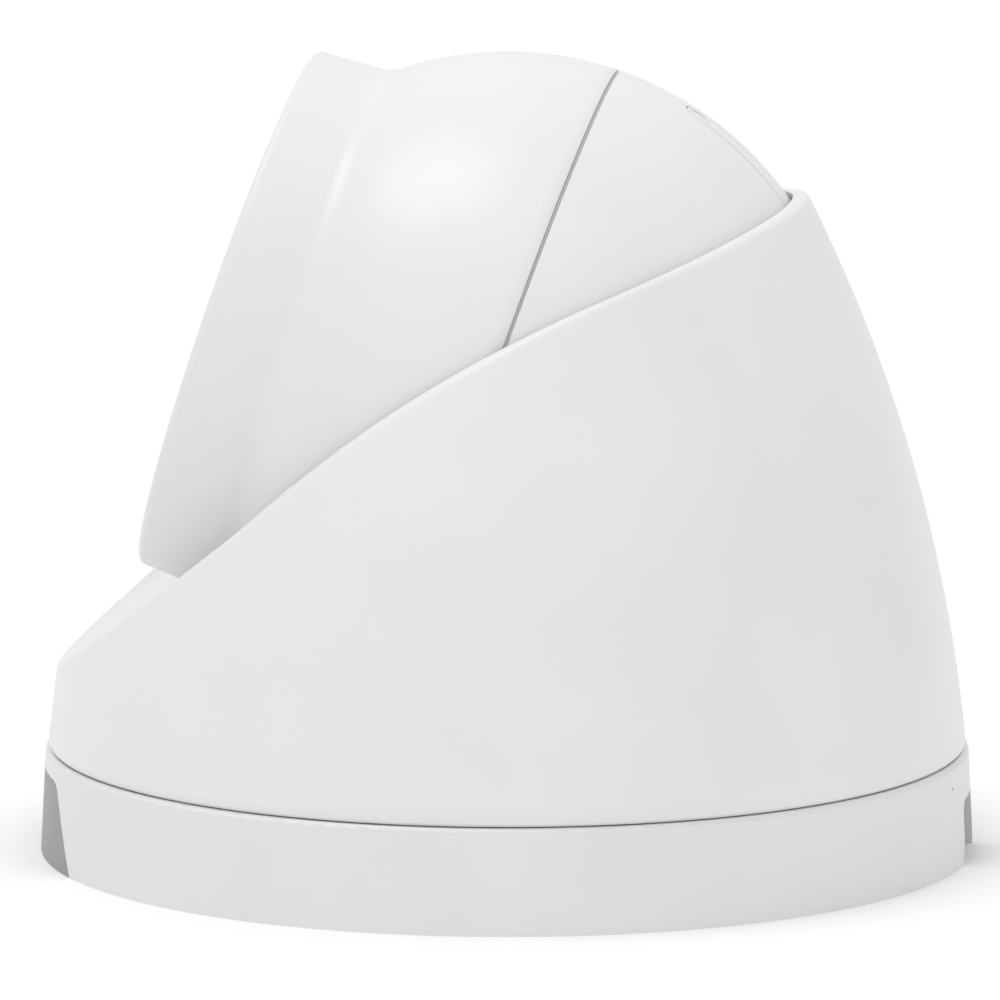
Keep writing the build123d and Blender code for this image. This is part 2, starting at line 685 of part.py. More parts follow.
def filter_glasses():
    low = (SLOT_Z[0] + SLOT_Z[1] - FILTER[2]) / 2
    return filter_windows(FILTER[0], FILTER[1], low, low + FILTER[2])


def image_sensor():
    return block(10, 8, STAGE_Z[0], STAGE_Z[0] + 1.2)


def sensor_board():
    body = block(SENSOR_BOARD, SENSOR_BOARD, *SENSOR_BOARD_Z)
    for hole in corners(disc(1.0, 0, 10), SENSOR_POST, SENSOR_POST):
        body -= hole
    return body


def sensor_screws():
    return corners(up(screw(1.0, 1.8, 1.2, 2.8), SENSOR_BOARD_Z[1]), SENSOR_POST, SENSOR_POST)


def thermal_pads():
    sensor_pad = block(12, 12, CHASSIS_Z[1], SENSOR_BOARD_Z[0])
    processor_pad = block(CHIP, CHIP, MAIN_BOARD_Z[1] + CHIP_H, HEAT_BOSS_Z)
    return [sensor_pad, processor_pad]


# ---- chassis and main board ------------------------------------------------------------------------
def chassis():
    body = disc(CHASSIS_R, *CHASSIS_Z) + block(CHIP + 3, CHIP + 3, HEAT_BOSS_Z, CHASSIS_Z[0] + 0.5)
    for hole in around(disc(SHELL_SCREW_R + 0.15, 0, 4), SHELL_SCREW_AT, 4, 45):
        body -= hole
    return body - Pos(0, LINK_Y, 0) * block(LINK[0] + 1, LINK[1] + 1, 0, 4)


def main_board():
    body = disc(MAIN_BOARD_R, *MAIN_BOARD_Z)
    body -= Pos(0, MAIN_BOARD_TOP + BIG / 2, 0) * Box(BIG, BIG, BIG)
    for hole in corners(disc(1.0, -9, -6), *MAIN_POST):
        body -= hole
    return body


def board_screws():
    one = up(turned_over(screw(1.0, 1.8, 1.2, 5)), MAIN_BOARD_Z[0])
    return corners(one, *MAIN_POST)


def processor():
    return block(CHIP, CHIP, MAIN_BOARD_Z[1], MAIN_BOARD_Z[1] + CHIP_H)


def board_connector():
    return Pos(0, LINK_Y, 0) * block(*LINK, MAIN_BOARD_Z[1], SENSOR_BOARD_Z[0])


def cable_header():
    body = block(12, 6, MAIN_BOARD_Z[0] - 6, MAIN_BOARD_Z[0])
    return Pos(-9, -10, 0) * (body - block(10.4, 4.4, MAIN_BOARD_Z[0] - 7, MAIN_BOARD_Z[0] - 1.2))


# ---- the whole camera ------------------------------------------------------------------------------
FIXED_NODES = [
    base_ring, conduit_cover, mounting_plate, mounting_gasket, lock_screw, pan_stop_pin, glide_ring,
    shroud, turntable, pan_retainer, retainer_screws, shroud_screws,
]
HEAD_NODES = [
    tilt_cradle, tilt_pins, tilt_washers, roll_bush,
    front_shell, rear_shell, equator_seal, shell_screws, roll_nut, cable_gland,
    access_cover, access_gasket, access_screws, card_board, card_socket, reset_switch, reset_button,
    window_gasket, front_window, window_bezel, face_mask, lens_isolator,
    led_board, ir_leds, light_sensor, microphone, standoffs,
    lens_barrel, front_element, rear_element, lens_lock_ring, lens_mount,
    filter_housing, filter_motor, filter_carriage, filter_glasses,
    image_sensor, sensor_board, sensor_screws, thermal_pads,
    chassis, main_board, board_screws, processor,
    board_connector, cable_header,
]


def write(make, place):
    """Write one node's STEP file; a list of solids is one node of separate solids."""
    made = make()
    solids = made if isinstance(made, list) else [made]
    placed = [solid for piece in solids for solid in (place * piece).solids()]
    shape = placed[0] if len(placed) == 1 else Compound(children=placed)
    shape.label = make.__name__
    export_step(shape, f"parts/{make.__name__}.step")


os.makedirs("parts", exist_ok=True)
for make in FIXED_NODES:
    write(make, Pos(0, 0, 0))
for make in HEAD_NODES:
    write(make, HEAD)
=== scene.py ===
import json
from math import atan2, cos, hypot, pi, radians, sin, sqrt, tan

import bmesh
import bpy
from mathutils import Matrix, Vector


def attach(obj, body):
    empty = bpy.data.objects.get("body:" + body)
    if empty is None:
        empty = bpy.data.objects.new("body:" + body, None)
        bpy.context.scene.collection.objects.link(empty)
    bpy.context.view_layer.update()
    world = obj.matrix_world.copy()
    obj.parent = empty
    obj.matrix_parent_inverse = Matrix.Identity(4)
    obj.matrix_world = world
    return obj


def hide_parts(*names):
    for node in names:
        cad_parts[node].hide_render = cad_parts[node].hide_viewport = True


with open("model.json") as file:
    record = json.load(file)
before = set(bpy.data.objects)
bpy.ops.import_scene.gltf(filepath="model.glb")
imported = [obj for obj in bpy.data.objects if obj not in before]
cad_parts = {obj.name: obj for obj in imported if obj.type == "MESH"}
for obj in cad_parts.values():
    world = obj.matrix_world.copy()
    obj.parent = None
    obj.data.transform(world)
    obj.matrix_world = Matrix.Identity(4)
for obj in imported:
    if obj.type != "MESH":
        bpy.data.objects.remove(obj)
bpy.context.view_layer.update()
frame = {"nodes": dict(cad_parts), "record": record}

NODES = frame["nodes"]
MM = 0.001

# The frame's own sizes, in millimetres, as part.py has them.
BALL_Z, LENS_ELEVATION = 59.5, 18.5
BALL_R, SHELL_WALL, HALF_SEAM = 44.8, 2.2, 0.225
HOOD_Z, HOOD_FOOT, HOOD_R, HOOD_DROP = 38.2, (35.9, 28.2), 35.3, 1.0
HOOD_BORE_R, SHELF_Z, SHELF_R = 32.4, (31.8, 33.8), 30.0
SHROUD_ARC, SHROUD_ARC_AT, SHROUD_WALL = 202.7, (-141.8, -5.6), 2.0
SHROUD_FOOT, CAVITY_TOP, DECK = 14.1, 66.0, 2.8
RIM_KNEE, RIM_SLOPES, RIM_KNEE_R, RIM_EDGE = (-3.3, 70.3), (0.835, 0.385), 130.0, 1.7
DISH, DISH_DEPTH, DISH_AT = (42.0, 26.5), 4.6, 44.0
OPENING_R, POCKET_R, POCKET_FROM = 45.3, 37.6, 22.2
LED_AT, LED_R, LED_Z = 17.0, 2.7, 27.6
MASK_TOP, LENS_HEAD_R, LENS_HEAD_Z = 33.3, 8.4, (24.0, 33.6)
COVER_POLAR, COVER_SCREW = 61.0, 10.4

# Sizes that only the finer meshes have, in millimetres.
SKIN_BLEND, DISH_BLEND, POCKET_BLEND = 0.9, 0.8, 1.2     # widths of the blends between two surfaces
HOOD_BRIM_R, HOOD_LIP_R, OPENING_LIP_R = 0.9, 0.35, 0.35
FOOT_LIP = 0.28                                          # height of the lip under the shroud's foot
SHELL_BOSS_AT, SHELL_BOSS_R = 33.0, (1.25, 3.2)
ELEMENT_R, ELEMENT_CROWN = 6.35, 1.5
KNURL_RIDGES = 60
BOX_FACES = [(3, 2, 1, 0), (4, 5, 6, 7), (0, 1, 5, 4), (1, 2, 6, 5), (2, 3, 7, 6), (3, 0, 4, 7)]
LAMP_BASE = 1.2                                          # the straight part under a lamp's dome
POST_AT = 25.5                                           # standoffs of the lamp board, from the axis
SEAL_DEPTH, PLUG_DEPTH, PLUG_R = 0.22, 0.12, 1.28

# The camera, in degrees, metres and millimetres of focal length, the floor, and the light.
VIEW_AZIMUTH, VIEW_ELEVATION, VIEW_DISTANCE = 96.2, 9.4, 1.5645
VIEW_HEIGHT, VIEW_SIDE, VIEW_LENS = 0.04571, -0.00094, 432
FLOOR_SIZE = 6
KEY_TOWARDS, KEY_STRENGTH, KEY_SPREAD = (0.05, -0.3, 0.95), 0.74, 30

HEAD = Matrix.Translation((0, 0, BALL_Z * MM)) @ Matrix.Rotation(radians(90 - LENS_ELEVATION), 4, "X")
ACCESS = HEAD @ Matrix.Rotation(radians(COVER_POLAR - 180), 4, "X")


# ---- materials -------------------------------------------------------------------------------------
def add(tree, kind, **values):
    """A node with its sockets or its settings filled in by name."""
    node = tree.nodes.new(kind)
    for key, value in values.items():
        socket = key.replace("_", " ")
        if socket in node.inputs:
            node.inputs[socket].default_value = value
        else:
            setattr(node, key, value)
    return node


def material(name, colour, roughness, **shader):
    """A node material with a Principled shader; shader holds more of its sockets, by name."""
    made = bpy.data.materials.new(name)
    made.use_nodes = True
    bsdf = made.node_tree.nodes["Principled BSDF"]
    bsdf.inputs["Base Color"].default_value = (*colour, 1)
    bsdf.inputs["Roughness"].default_value = roughness
    for socket, value in shader.items():
        bsdf.inputs[socket.replace("_", " ")].default_value = value
    return made


def head_place(tree):
    """Coordinates in the head's own frame: Z along the optical axis, origin at the ball's centre."""
    place = tree.nodes.new("ShaderNodeTexCoord")
    turn = add(tree, "ShaderNodeMapping", vector_type="TEXTURE", Location=(0, 0, BALL_Z * MM),
               Rotation=(radians(90 - LENS_ELEVATION), 0, 0))
    tree.links.new(place.outputs["Object"], turn.inputs["Vector"])
    return turn.outputs["Vector"]


def toned(tree, fac, low, high, span=(0.3, 0.7)):
    """A ramp from one colour to another."""
    ramp = tree.nodes.new("ShaderNodeValToRGB")
    for element, at, colour in zip(ramp.color_ramp.elements, span, (low, high)):
        element.position = at
        element.color = (*colour, 1)
    tree.links.new(fac, ramp.inputs["Fac"])
    return ramp.outputs["Color"]


def surface(name, colour, roughness, grain_mm=0.25, bump=0.02, tone=0.04, spread=0.05, stretch=None,
            texture="ShaderNodeTexNoise", slow_mm=30.0, depth_mm=0.1, **shader):
    """A solid's finish: a slow change of tone, roughness that varies, and a fine relief.

    stretch draws the relief out along one axis of the head's frame, as brushing or turning does."""
    made = material(name, colour, roughness, **shader)
    tree = made.node_tree
    bsdf = tree.nodes["Principled BSDF"]
    where = head_place(tree)
    slow = add(tree, "ShaderNodeTexNoise", Scale=1 / (slow_mm * MM), Detail=3.0)
    fine = add(tree, texture, Scale=1 / (grain_mm * MM))
    link = tree.links.new
    link(where, slow.inputs["Vector"])
    if stretch:
        drawn = add(tree, "ShaderNodeMapping", Scale=stretch)
        link(where, drawn.inputs["Vector"])
        link(drawn.outputs["Vector"], fine.inputs["Vector"])
    else:
        link(where, fine.inputs["Vector"])
    darker = tuple(c * (1 - tone) for c in colour)
    link(toned(tree, slow.outputs["Fac"], darker, colour), bsdf.inputs["Base Color"])
    relief = add(tree, "ShaderNodeBump", Strength=bump, Distance=depth_mm * MM)
    link(fine.outputs[0], relief.inputs["Height"])
    link(relief.outputs["Normal"], bsdf.inputs["Normal"])
    rough = add(tree, "ShaderNodeMapRange", To_Min=max(roughness - spread, 0.02), To_Max=roughness + spread)
    mixed = add(tree, "ShaderNodeMath", operation="MULTIPLY_ADD")
    mixed.inputs[1].default_value = 0.5
    link(fine.outputs[0], mixed.inputs[0])
    half = add(tree, "ShaderNodeMath", operation="MULTIPLY")
    half.inputs[1].default_value = 0.5
    link(slow.outputs["Fac"], half.inputs[0])
    link(half.outputs[0], mixed.inputs[2])
    link(mixed.outputs[0], rough.inputs["Value"])
    link(rough.outputs["Result"], bsdf.inputs["Roughness"])
    return made


def glass(name, colour, roughness, smear, **shader):
    """Clear glass or epoxy with a faint, uneven film on it."""
    made = material(name, colour, roughness, Transmission_Weight=1.0, **shader)
    tree = made.node_tree
    bsdf = tree.nodes["Principled BSDF"]
    where = head_place(tree)
    film = add(tree, "ShaderNodeTexNoise", Scale=120.0, Detail=5.0, Roughness=0.7)
    rough = add(tree, "ShaderNodeMapRange", From_Min=0.45, From_Max=0.8,
                To_Min=roughness, To_Max=roughness + smear)
    tree.links.new(where, film.inputs["Vector"])
    tree.links.new(film.outputs["Fac"], rough.inputs["Value"])
    tree.links.new(rough.outputs["Result"], bsdf.inputs["Roughness"])
    darker = tuple(c * 0.96 for c in colour)
    tree.links.new(toned(tree, film.outputs["Fac"], darker, colour), bsdf.inputs["Base Color"])
    return made


def coated_glass():
    """A lens element: dark glass whose coating turns from violet in the middle to green at the edge."""
    made = material("coated_glass", (0.02, 0.02, 0.03), 0.03, Coat_Weight=0.4, Coat_Roughness=0.02, IOR=1.5)
    tree = made.node_tree
    bsdf = tree.nodes["Principled BSDF"]
    where = head_place(tree)
    apart = tree.nodes.new("ShaderNodeSeparateXYZ")
    square = [add(tree, "ShaderNodeMath", operation="MULTIPLY") for _ in range(2)]
    total = add(tree, "ShaderNodeMath", operation="ADD")
    root = add(tree, "ShaderNodeMath", operation="SQRT")
    span = add(tree, "ShaderNodeMapRange", From_Max=0.0064)
    link = tree.links.new
    link(where, apart.inputs[0])
    for node, axis in zip(square, "XY"):
        link(apart.outputs[axis], node.inputs[0])
        link(apart.outputs[axis], node.inputs[1])
    link(square[0].outputs[0], total.inputs[0])
    link(square[1].outputs[0], total.inputs[1])
    link(total.outputs[0], root.inputs[0])
    link(root.outputs[0], span.inputs["Value"])
    ramp = tree.nodes.new("ShaderNodeValToRGB")
    stops = ramp.color_ramp.elements
    stops[0].color = (0.015, 0.008, 0.03, 1)
    stops[1].color = (0.004, 0.02, 0.012, 1)
    middle = stops.new(0.55)
    middle.color = (0.04, 0.012, 0.07, 1)
    link(span.outputs["Result"], ramp.inputs["Fac"])
    link(ramp.outputs["Color"], bsdf.inputs["Base Color"])
    return made


def circuit_board():
    """Green solder mask over copper runs, with gold plated holes."""
    green, run, gold = (0.008, 0.09, 0.035), (0.02, 0.17, 0.07), (0.65, 0.45, 0.15)
    made = material("solder_mask", green, 0.35, Coat_Weight=0.4, Coat_Roughness=0.15)
    tree = made.node_tree
    bsdf = tree.nodes["Principled BSDF"]
    where = head_place(tree)
    link = tree.links.new
    runs = add(tree, "ShaderNodeTexBrick", Scale=420.0, Mortar_Size=0.12, Brick_Width=1.7, Row_Height=0.4,
               Color1=(*green, 1), Color2=(*[c * 0.9 for c in green], 1), Mortar=(*run, 1))
    holes = add(tree, "ShaderNodeTexVoronoi", Scale=330.0, Randomness=0.6)
    near = add(tree, "ShaderNodeMath", operation="LESS_THAN")
    near.inputs[1].default_value = 0.11
    mix = add(tree, "ShaderNodeMix", data_type="RGBA")
    relief = add(tree, "ShaderNodeBump", Strength=0.3, Distance=0.05 * MM)
    link(where, runs.inputs["Vector"])
    link(where, holes.inputs["Vector"])
    link(holes.outputs["Distance"], near.inputs[0])
    link(near.outputs[0], mix.inputs["Factor"])
    link(runs.outputs["Color"], mix.inputs[6])
    mix.inputs[7].default_value = (*gold, 1)
    link(mix.outputs[2], bsdf.inputs["Base Color"])
    link(runs.outputs["Fac"], relief.inputs["Height"])
    link(relief.outputs["Normal"], bsdf.inputs["Normal"])
    return made


FINISH = {
    "white_plastic": surface("white_moulding", (0.815, 0.815, 0.81), 0.36, bump=0.03, Specular_IOR_Level=0.4),
    "hood_plastic": surface("hood_moulding", (0.815, 0.815, 0.81), 0.34, bump=0.03, Specular_IOR_Level=0.4),
    # The base's moulding is a few percent darker than the white moulding: painted shade for the dimmer light
    # that falls on the base.
    "base_plastic": surface("base_moulding_painted_shade", (0.782, 0.782, 0.774), 0.42, grain_mm=0.35, bump=0.05),
    "grey_plastic": surface("grey_moulding", (0.30, 0.305, 0.305), 0.45, grain_mm=0.3, bump=0.06, tone=0.08),
    "dark_plastic": surface("black_moulding", (0.016, 0.016, 0.018), 0.5, grain_mm=0.2, bump=0.12, tone=0.25),
    "pale_plastic": surface("acetal", (0.62, 0.62, 0.6), 0.4, grain_mm=0.5, bump=0.04, Subsurface_Weight=0.1,
                            Subsurface_Scale=0.001),
    "foam": surface("closed_cell_foam", (0.035, 0.035, 0.035), 0.9, grain_mm=0.5, bump=0.6, tone=0.3,
                    texture="ShaderNodeTexVoronoi", depth_mm=0.2),
    "seal_rubber": surface("silicone_rubber", (0.2, 0.2, 0.2), 0.7, grain_mm=0.3, bump=0.1, tone=0.15),
    "thermal_silicone": surface("thermal_pad", (0.28, 0.4, 0.58), 0.8, grain_mm=0.15, bump=0.3, tone=0.12),
    "steel": surface("zinc_plated_steel", (0.58, 0.58, 0.57), 0.3, grain_mm=0.12, bump=0.08, tone=0.2,
                     slow_mm=2.0, spread=0.1, stretch=(1.0, 1.0, 0.1), Metallic=1.0),
    "brass": surface("turned_brass", (0.72, 0.52, 0.24), 0.28, grain_mm=0.08, bump=0.1, tone=0.15,
                     slow_mm=3.0, stretch=(0.1, 0.1, 1.0), Metallic=1.0),
    "die_cast": surface("die_cast_alloy", (0.56, 0.57, 0.58), 0.45, grain_mm=0.4, bump=0.25, tone=0.12,
                        slow_mm=12.0, Metallic=1.0),
    "black_metal": surface("anodised_barrel", (0.025, 0.025, 0.027), 0.38, grain_mm=0.1, bump=0.1, tone=0.2,
                           stretch=(0.1, 0.1, 1.0), Metallic=0.7),
    "window_glass": glass("window_glass", (0.86, 0.89, 0.9), 0.0, 0.015, IOR=1.28),
    "lens_glass": coated_glass(),
    "filter_glass": glass("filter_glass", (0.35, 0.75, 0.8), 0.02, 0.05, IOR=1.52),
    "lamp_epoxy": glass("lamp_epoxy", (0.93, 0.92, 0.86), 0.04, 0.1, IOR=1.54),
    "board": circuit_board(),
    "chip": surface("moulded_epoxy", (0.022, 0.022, 0.025), 0.6, grain_mm=0.1, bump=0.15, tone=0.25,
                    slow_mm=4.0),
}
MASK = surface("matt_mask", (0.006, 0.006, 0.007), 0.75, bump=0.01, tone=0.3, Specular_IOR_Level=0.15)
SEAL = surface("seam_rubber", (0.5, 0.5, 0.5), 0.7, bump=0.1)
BEARING = surface("bearing_acetal", (0.45, 0.45, 0.44), 0.5, bump=0.05)
GOLD = surface("gold_pads", (0.8, 0.6, 0.25), 0.25, grain_mm=0.1, bump=0.05, tone=0.1, Metallic=1.0)
CERAMIC = surface("ceramic_parts", (0.45, 0.33, 0.22), 0.5, grain_mm=0.1, bump=0.1, tone=0.2, slow_mm=1.5)

SLOT_OF = {row["node"]: row["material_slot"] for row in frame["record"]["subparts"]}
OWN_FINISH = {"face_mask": MASK, "equator_seal": SEAL, "turntable": BEARING}
for name, node in NODES.items():
    node.data.materials.clear()
    node.data.materials.append(OWN_FINISH.get(name, FINISH[SLOT_OF[name]]))


# ---- helpers for meshes ----------------------------------------------------------------------------
def piece(name, points, faces, body, slot, finish=None, place=HEAD, smooth=60):
    """A mesh in millimetres in the given frame, riding on a body."""
    mesh = bpy.data.meshes.new(name)
    mesh.from_pydata([place @ (Vector(p) * MM) for p in points], [], faces)
    made = bpy.data.objects.new(name, mesh)
    bpy.context.scene.collection.objects.link(made)
    mesh.materials.append(finish or FINISH[slot])
    sheet = bmesh.new()
    sheet.from_mesh(mesh)
    bmesh.ops.remove_doubles(sheet, verts=sheet.verts, dist=1e-7)
    bmesh.ops.recalc_face_normals(sheet, faces=sheet.faces)
    sheet.to_mesh(mesh)
    sheet.free()
    mesh.shade_smooth()
    mesh.set_sharp_from_angle(angle=radians(smooth))
    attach(made, body)
    return made


def loft(sections):
    """Points and faces of a closed skin through closed sections that stand in a ring."""
    count, width = len(sections), len(sections[0])
    points = [p for section in sections for p in section]
    faces = []
    for i in range(count):
        for j in range(width):
            here, there = i * width, (i + 1) % count * width
            beside = (j + 1) % width
            faces.append((here + j, here + beside, there + beside, there + j))
    return points, faces


def turned(profile, steps=96, centre=(0, 0)):
    """Points and faces of a closed outline of (radius, height) turned about an axis along Z."""
    x, y = centre
    sections = [[(x + r * cos(2 * pi * i / steps), y + r * sin(2 * pi * i / steps), z) for r, z in profile]
                for i in range(steps)]
    return loft(sections)


def joined(parts):
    """Several (points, faces) pairs as one."""
    points, faces = [], []
    for more, skins in parts:
        faces += [tuple(i + len(points) for i in face) for face in skins]
        points += more
    return points, faces


def slab(centre, size, edge=0.12):
    """A box with chamfered upper edges that stands on its centre's height."""
    x, y, z = centre
    half_x, half_y, height = size[0] / 2, size[1] / 2, size[2]
    points = []
    for inset, level in ((0, 0), (0, height - edge), (edge, height)):
        for sx, sy in ((-1, -1), (1, -1), (1, 1), (-1, 1)):
            points.append((x + sx * (half_x - inset), y + sy * (half_y - inset), z + level))
    faces = [(3, 2, 1, 0), (8, 9, 10, 11)]
    for low in (0, 4):
        faces += [(low + i, low + (i + 1) % 4, low + 4 + (i + 1) % 4, low + 4 + i) for i in range(4)]
    return points, faces


def rounded(corner, along, onward, radius, steps=6):
    """Points of an arc of that radius in a corner between two directions that leave it."""
    a, b = Vector(along).normalized(), Vector(onward).normalized()
    half = a.angle(b) / 2
    reach = radius / tan(half)
    centre = Vector(corner) + (a + b).normalized() * radius / sin(half)
    start, end = Vector(corner) + a * reach - centre, Vector(corner) + b * reach - centre
    turn = start.angle(end)
    return [centre + (start * sin(turn * (1 - t / steps)) + end * sin(turn * t / steps)) / sin(turn)
            for t in range(steps + 1)]


# ---- shroud ----------------------------------------------------------------------------------------
def wall_radius(height, thickness=0.0):
    """Radius of the shroud's wall, or of a surface that lies inside it by a thickness."""
    return SHROUD_ARC_AT[0] + sqrt((SHROUD_ARC - thickness) ** 2 - (height - SHROUD_ARC_AT[1]) ** 2)


def rim_height(y):
    """Height of the rim's surface: two slopes with an arc between them."""
    knee_y, knee_z = RIM_KNEE
    front, rear = [atan2(slope, 1) for slope in RIM_SLOPES]
    reach = RIM_KNEE_R * tan((front - rear) / 2)
    start, end = knee_y - reach * cos(front), knee_y + reach * cos(rear)
    if y < start:
        return knee_z + (y - knee_y) * RIM_SLOPES[0]
    if y > end:
        return knee_z + (y - knee_y) * RIM_SLOPES[1]
    centre_y = start + RIM_KNEE_R * sin(front)
    centre_z = knee_z - reach * sin(front) - RIM_KNEE_R * cos(front)
    return centre_z + sqrt(RIM_KNEE_R ** 2 - (y - centre_y) ** 2)


def deck_height(x, y):
    """Height of the rim's surface with the shallow dish under the hood taken out of it."""
    flat = rim_height(y)
    lean = atan2(RIM_SLOPES[0], 1)
    down = (RIM_KNEE[0] - y) / cos(lean) - DISH_AT
    depth = DISH_DEPTH * (1 - (x / DISH[0]) ** 2 - (down / DISH[1]) ** 2)
    drop = (depth + sqrt(depth ** 2 + DISH_BLEND ** 2 / 4)) / 2
    return flat - drop / cos(lean) if drop > 0.04 else flat


def halved(test, low, high):
    """Where a rising test passes from false to true between two values."""
    for _ in range(36):
        middle = (low + high) / 2
        if test(middle):
            high = middle
        else:
            low = middle
    return (low + high) / 2


def outside_opening(x, y, z):
    """True outside the ball's opening and the hood's pocket, whose meeting is a little rounded."""
    ball = sqrt(x * x + y * y + (z - BALL_Z) ** 2) - OPENING_R
    lift = radians(LENS_ELEVATION)
    along = -y * cos(lift) + (z - BALL_Z) * sin(lift)
    across = y * sin(lift) + (z - BALL_Z) * cos(lift)
    pocket = max(hypot(x, across) - POCKET_R, POCKET_FROM - along)
    near = max(POCKET_BLEND - abs(ball - pocket), 0) / POCKET_BLEND
    return min(ball, pocket) - near * near * POCKET_BLEND / 4 > 0


def shroud_section(angle):
    """One closed section of the shroud at an angle about Z: up the wall, in over the rim, down inside."""
    c, s = cos(angle), sin(angle)
    crest = halved(lambda z: z > rim_height(wall_radius(z) * s), 16, 100)
    radius = wall_radius(crest)
    slope = (rim_height((radius + 0.01) * s) - rim_height((radius - 0.01) * s)) / 0.02

    def opening(drop):
        return halved(lambda r: outside_opening(r * c, r * s, deck_height(r * c, r * s) - drop),
                      20, radius + 4)

    edge = opening(0)
    lean = (wall_radius(crest - 1) - radius, -1)
    inward = (-1, -slope)
    half = Vector(lean).angle(Vector(inward)) / 2
    width = (radius - edge) * sqrt(1 + slope * slope)
    edge_r = min(RIM_EDGE, 0.62 * width * tan(half))
    corner = rounded((radius, crest), lean, inward, edge_r, 8)
    edge_of_foot = wall_radius(SHROUD_FOOT)
    foot = [(edge_of_foot - 1.5, SHROUD_FOOT), (edge_of_foot - 1.4, SHROUD_FOOT - FOOT_LIP),
            (edge_of_foot - 0.45, SHROUD_FOOT - FOOT_LIP), (edge_of_foot - 0.35, SHROUD_FOOT),
            (edge_of_foot - 0.12, SHROUD_FOOT + 0.02), (wall_radius(SHROUD_FOOT + 0.2), SHROUD_FOOT + 0.2)]
    top = corner[0][1]
    wall = [SHROUD_FOOT + 0.2 + (top - SHROUD_FOOT - 0.2) * i / 30 for i in range(1, 30)]
    section = foot + [(wall_radius(z), z) for z in wall] + [tuple(p) for p in corner]
    start, lip = corner[-1][0], OPENING_LIP_R
    for i in range(1, 16):
        r = start + (edge + lip - start) * i / 16
        section.append((r, deck_height(r * c, r * s)))
    for drop, out in ((0, lip), (0.06, 0.12), (lip, 0), (0.6 * DECK, 0), (DECK, 0)):
        r = opening(drop) + out
        section.append((r, deck_height(r * c, r * s) - drop))
    deep = section[-1]
    if deep[1] > CAVITY_TOP:
        for part in (0.5, 1.0):
            z = deep[1] + (CAVITY_TOP - deep[1]) * part
            r = halved(lambda r: outside_opening(r * c, r * s, z), 20, radius + 9)
            section.append((r, z))
    else:
        section += [deep, deep]
    inner = halved(lambda z: z > min(rim_height(wall_radius(z, SHROUD_WALL) * s) - DECK, CAVITY_TOP), 16, 100)
    section.append((max(wall_radius(inner, SHROUD_WALL), section[-1][0] + 0.02), inner))
    for part in (0.33, 0.66, 1.0):
        z = inner + (SHROUD_FOOT - inner) * part
        section.append((wall_radius(z, SHROUD_WALL), z))
    return [(r * c, r * s, z) for r, z in section]


def shroud():
    """The sloped housing, with its rounded rim, its dish and the opening for the ball."""
    count = 240
    sections = [shroud_section(2 * pi * (i + 0.5) / count) for i in range(count)]
    made = piece("shroud_skin", *loft(sections), "pan", "white_plastic", place=Matrix.Identity(4), smooth=50)
    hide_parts("shroud")


# ---- front half of the ball, with its hood ---------------------------------------------------------
def hood_radius(height, angle):
    """Distance from the optical axis to the hood's outside, which sits a little low on the head."""
    taper = (HOOD_FOOT[0] - HOOD_R) / (HOOD_Z - HOOD_FOOT[1])
    radius = HOOD_R + taper * (HOOD_Z - height)
    shift = -HOOD_DROP * sin(angle)
    return shift + sqrt(radius ** 2 - HOOD_DROP ** 2 + shift ** 2)


def front_section(angle):
    """One closed section of the front shell at an angle about the optical axis."""
    def outside(z):
        ball = sqrt(max(BALL_R ** 2 - z * z, 0))
        hood = hood_radius(z, angle)
        near = max(SKIN_BLEND - abs(ball - hood), 0) / SKIN_BLEND
        return max(ball, hood) + near * near * SKIN_BLEND / 4

    c, s = cos(angle), sin(angle)
    inner_r = BALL_R - SHELL_WALL
    edge, lip = HOOD_BRIM_R, HOOD_LIP_R
    section = [(outside(HALF_SEAM) - 0.12, HALF_SEAM), (outside(HALF_SEAM) - 0.03, HALF_SEAM + 0.04)]
    heights = [0.3 + 20.7 * i / 12 for i in range(13)] + [21 + 0.3 * i for i in range(1, 60)]
    heights = [z for z in heights if z < HOOD_Z - edge - 0.2]
    section += [(outside(z), z) for z in heights]
    brim = outside(HOOD_Z - edge)
    for i in range(8):
        turn = pi / 2 * i / 7
        section.append((brim - edge + edge * cos(turn), HOOD_Z - edge + edge * sin(turn)))
    for i in range(4):
        turn = pi / 2 * (1 + i / 3)
        section.append((HOOD_BORE_R + lip + lip * cos(turn), HOOD_Z - lip + lip * sin(turn)))
    section += [(HOOD_BORE_R, SHELF_Z[1]), (SHELF_R + 0.15, SHELF_Z[1]), (SHELF_R, SHELF_Z[1] - 0.15),
                (SHELF_R, SHELF_Z[0]), (HOOD_BORE_R, SHELF_Z[0]), (HOOD_BORE_R, 27.0)]
    section += [(sqrt(inner_r ** 2 - z * z), z) for z in (27, 22, 16, 10, 4, HALF_SEAM)]
    return [(r * c, r * s, z) for r, z in section]


def front_shell():
    """The front half of the ball with its hood and its screw bosses."""
    count = 216
    sections = [front_section(2 * pi * i / count) for i in range(count)]
    bore, outer = SHELL_BOSS_R
    bosses = []
    for a in [radians(45 + 90 * i) for i in range(4)]:
        at = (SHELL_BOSS_AT * cos(a), SHELL_BOSS_AT * sin(a))
        bosses.append(turned([(bore, 2.0), (outer, 2.0), (outer, 26.0), (bore, 26.0)], 32, at))
    made = piece("front_shell_skin", *joined([loft(sections), *bosses]), "head", "hood_plastic", smooth=50)
    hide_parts("front_shell")


